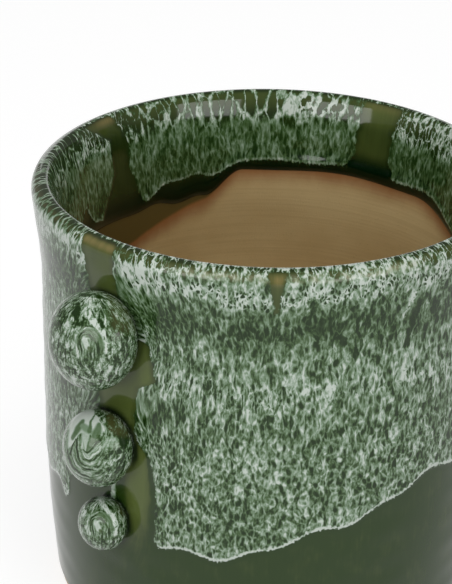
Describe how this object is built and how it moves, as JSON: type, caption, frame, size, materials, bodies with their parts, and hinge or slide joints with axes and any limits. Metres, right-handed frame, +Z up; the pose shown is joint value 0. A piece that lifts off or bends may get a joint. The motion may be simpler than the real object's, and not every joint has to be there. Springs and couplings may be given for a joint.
{
  "type": "flared planter pot with applied balls",
  "caption": "Round glazed clay planter with a flared rounded lip, a drain hole, a foot ring and a column of shrinking hollow balls luted to its wall.",
  "frame": {"origin": "centre of the foot ring, in the plane that the pot stands on", "axes": "+Z up along the pot's axis, the ball column faces -Y, +X to the right when looking at the balls"},
  "size_m": [0.1996, 0.2198, 0.188],
  "materials": {
    "fired_clay": "matte",
    "slip": "matte",
    "green_glaze": "gloss",
    "white_glaze": "gloss",
    "mottled_glaze": "gloss"
  },
  "bodies": {
    "root": {"pot_body": "fired_clay", "upper_ball": "fired_clay", "middle_ball": "fired_clay", "lower_ball": "fired_clay", "upper_ball_slip": "slip", "middle_ball_slip": "slip", "lower_ball_slip": "slip", "upper_ball_glaze": "mottled_glaze", "middle_ball_glaze": "mottled_glaze", "lower_ball_glaze": "mottled_glaze", "green_glaze": "green_glaze", "white_glaze": "white_glaze"}
  },
  "joints": []
}
